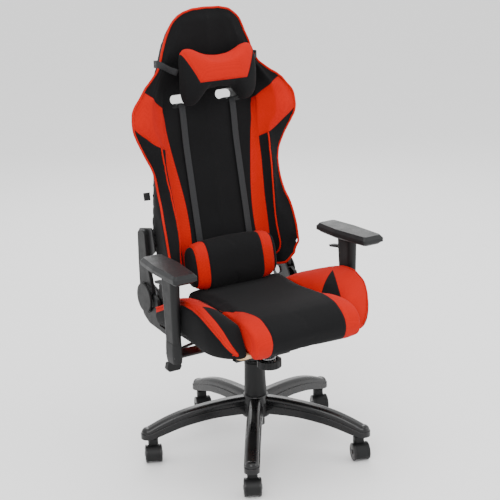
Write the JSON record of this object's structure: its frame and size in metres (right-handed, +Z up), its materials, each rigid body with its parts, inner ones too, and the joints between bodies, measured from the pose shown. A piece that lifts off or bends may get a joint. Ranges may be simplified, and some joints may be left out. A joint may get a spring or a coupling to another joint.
{
  "type": "gaming chair",
  "caption": "Racing-style swivel chair with winged backrest, neck and lumbar pillows, height-adjustable armrests, gas lift and a star base on twin-wheel casters.",
  "frame": {"origin": "on the floor under the swivel axis", "axes": "+Z up, the chair faces -Y, so the sitter's right is -X"},
  "size_m": [0.6498, 0.6253, 1.2219],
  "materials": {
    "painted_steel": "glossy black powder coat",
    "plain_steel": "zinc plated",
    "chromed_steel": "polished",
    "hard_plastic": "fine grained black",
    "wheel_plastic": "satin black nylon",
    "soft_plastic": "soft-touch polyurethane",
    "plywood": "raw",
    "black_fabric": "fine knit over foam",
    "red_fabric": "fine knit over foam",
    "webbing": "woven polyester"
  },
  "bodies": {
    "base": {"star_base": "painted_steel", "caster_sockets": "hard_plastic", "gas_base_tube": "painted_steel", "gas_guide_bush": "hard_plastic", "gas_thrust_bearing": "plain_steel", "cover_lower_sleeve": "hard_plastic"},
    "lift_rod": {"gas_piston_rod": "plain_steel", "gas_retaining_clip": "plain_steel"},
    "mechanism": {"gas_cylinder": "chromed_steel", "mechanism_housing": "painted_steel", "cover_upper_sleeve": "hard_plastic", "tilt_pin": "plain_steel", "tilt_spring": "plain_steel"},
    "cover_middle": {"cover_middle_sleeve": "hard_plastic"},
    "gas_button": {"gas_release_button": "plain_steel"},
    "seat": {"tension_bolt": "plain_steel", "mechanism_top_plate": "painted_steel", "seat_frame": "painted_steel", "seat_base_board": "plywood", "seat_cushion": "black_fabric", "seat_bolsters": "red_fabric", "seat_bolts": "plain_steel", "armrest_brackets": "painted_steel", "armrest_posts": "painted_steel", "armrest_housings": "hard_plastic", "recliner_seat_brackets": "painted_steel", "recliner_pivots": "plain_steel", "recliner_lower_covers": "hard_plastic"},
    "knob": {"tension_knob": "hard_plastic"},
    "height_lever": {"height_lever_rod": "painted_steel", "height_lever_grip": "hard_plastic"},
    "recline_lever": {"recline_lever_arm": "painted_steel", "recline_lever_grip": "hard_plastic"},
    "armrest_right": {"armrest_upright_right": "hard_plastic", "armrest_pad_right": "soft_plastic"},
    "armrest_left": {"armrest_upright_left": "hard_plastic", "armrest_pad_left": "soft_plastic"},
    "trigger_right": {"armrest_trigger_right": "hard_plastic"},
    "trigger_left": {"armrest_trigger_left": "hard_plastic"},
    "backrest": {"backrest_frame": "painted_steel", "backrest_cushion": "black_fabric", "backrest_bolsters": "red_fabric", "recliner_back_brackets": "painted_steel", "recliner_upper_covers": "hard_plastic", "recliner_caps": "hard_plastic", "strap_slot_bezels": "hard_plastic", "lumbar_straps": "webbing", "neck_pillow": "red_fabric", "neck_band": "webbing"},
    "lumbar": {"lumbar_pillow": "black_fabric"},
    "caster_1": {"caster_1_hood": "hard_plastic"},
    "caster_1_wheelset": {"caster_1_wheels": "wheel_plastic"},
    "caster_2": {"caster_2_hood": "hard_plastic"},
    "caster_2_wheelset": {"caster_2_wheels": "wheel_plastic"},
    "caster_3": {"caster_3_hood": "hard_plastic"},
    "caster_3_wheelset": {"caster_3_wheels": "wheel_plastic"},
    "caster_4": {"caster_4_hood": "hard_plastic"},
    "caster_4_wheelset": {"caster_4_wheels": "wheel_plastic"},
    "caster_5": {"caster_5_hood": "hard_plastic"},
    "caster_5_wheelset": {"caster_5_wheels": "wheel_plastic"}
  },
  "joints": [
    {"name": "seat_swivel", "type": "hinge", "parent": "base", "child": "lift_rod", "pos_m": [0, 0, 0.1], "axis": [0, 0, 1], "continuous": true},
    {"name": "seat_lift", "type": "slide", "parent": "lift_rod", "child": "mechanism", "axis": [0, 0, 1], "range_m": [0, 0.08]},
    {"name": "cover_slide", "type": "slide", "parent": "base", "child": "cover_middle", "axis": [0, 0, 1], "range_m": [0, 0.04]},
    {"name": "height_lever_lift", "type": "hinge", "parent": "mechanism", "child": "height_lever", "pos_m": [-0.0435, 0, 0.322], "axis": [0, 1, 0], "range_deg": [0, 5.5], "stiffness_Nm_per_rad": 1},
    {"name": "gas_button_press", "type": "slide", "parent": "mechanism", "child": "gas_button", "axis": [0, 0, -1], "range_m": [0, 0.0043], "stiffness_N_per_m": 800},
    {"name": "seat_tilt", "type": "hinge", "parent": "mechanism", "child": "seat", "pos_m": [0, 0.036, 0.318], "axis": [-1, 0, 0], "range_deg": [0, 7], "stiffness_Nm_per_rad": 150, "springref_deg": -17.19, "deforming": ["tilt_spring"]},
    {"name": "tension_knob_turn", "type": "hinge", "parent": "seat", "child": "knob", "pos_m": [0, -0.08, 0.27], "axis": [0, 0, 1], "continuous": true},
    {"name": "recline_lever_pull", "type": "hinge", "parent": "seat", "child": "recline_lever", "pos_m": [-0.214, 0.131, 0.408], "axis": [-1, 0, 0], "range_deg": [0, 15], "stiffness_Nm_per_rad": 0.5},
    {"name": "recline", "type": "hinge", "parent": "seat", "child": "backrest", "pos_m": [0, 0.19, 0.438], "axis": [-1, 0, 0], "range_deg": [0, 55]},
    {"name": "armrest_height_right", "type": "slide", "parent": "seat", "child": "armrest_right", "axis": [0, 0, 1], "range_m": [0, 0.07]},
    {"name": "armrest_trigger_squeeze_right", "type": "hinge", "parent": "armrest_right", "child": "trigger_right", "pos_m": [-0.279, -0.034, 0.545], "axis": [1, 0, 0], "range_deg": [0, 8], "stiffness_Nm_per_rad": 0.05},
    {"name": "armrest_height_left", "type": "slide", "parent": "seat", "child": "armrest_left", "axis": [0, 0, 1], "range_m": [0, 0.07]},
    {"name": "armrest_trigger_squeeze_left", "type": "hinge", "parent": "armrest_left", "child": "trigger_left", "pos_m": [0.279, -0.034, 0.545], "axis": [1, 0, 0], "range_deg": [0, 8], "stiffness_Nm_per_rad": 0.05},
    {"name": "lumbar_slide", "type": "slide", "parent": "backrest", "child": "lumbar", "axis": [0, 0.2079, 0.9781], "range_m": [0, 0.1]},
    {"name": "caster_1_swivel", "type": "hinge", "parent": "base", "child": "caster_1", "pos_m": [-0.16602, -0.24988, 0.07], "axis": [0, 0, 1], "continuous": true},
    {"name": "caster_1_roll", "type": "hinge", "parent": "caster_1", "child": "caster_1_wheelset", "pos_m": [-0.17202, -0.26027, 0.025], "axis": [0.866, -0.5, 0], "continuous": true},
    {"name": "caster_2_swivel", "type": "hinge", "parent": "base", "child": "caster_2", "pos_m": [0.18634, -0.23511, 0.07], "axis": [0, 0, 1], "continuous": true},
    {"name": "caster_2_roll", "type": "hinge", "parent": "caster_2", "child": "caster_2_wheelset", "pos_m": [0.18284, -0.24658, 0.025], "axis": [0.9563, -0.2924, 0], "continuous": true},
    {"name": "caster_3_swivel", "type": "hinge", "parent": "base", "child": "caster_3", "pos_m": [0.28119, 0.10457, 0.07], "axis": [0, 0, 1], "continuous": true},
    {"name": "caster_3_roll", "type": "hinge", "parent": "caster_3", "child": "caster_3_wheelset", "pos_m": [0.27748, 0.09316, 0.025], "axis": [0.9511, -0.309, 0], "continuous": true},
    {"name": "caster_4_swivel", "type": "hinge", "parent": "base", "child": "caster_4", "pos_m": [-0.01256, 0.29974, 0.07], "axis": [0, 0, 1], "continuous": true},
    {"name": "caster_4_roll", "type": "hinge", "parent": "caster_4", "child": "caster_4_wheelset", "pos_m": [-0.01587, 0.2882, 0.025], "axis": [0.9613, -0.2756, 0], "continuous": true},
    {"name": "caster_5_swivel", "type": "hinge", "parent": "base", "child": "caster_5", "pos_m": [-0.28895, 0.08068, 0.07], "axis": [0, 0, 1], "continuous": true},
    {"name": "caster_5_roll", "type": "hinge", "parent": "caster_5", "child": "caster_5_wheelset", "pos_m": [-0.29402, 0.0698, 0.025], "axis": [0.9063, -0.4226, 0], "continuous": true}
  ],
  "couplings": [
    {"joint": "cover_slide", "follows": "seat_lift", "ratio": 0.5},
    {"joint": "gas_button_press", "follows": "height_lever_lift", "m_per_rad": 0.0435}
  ]
}
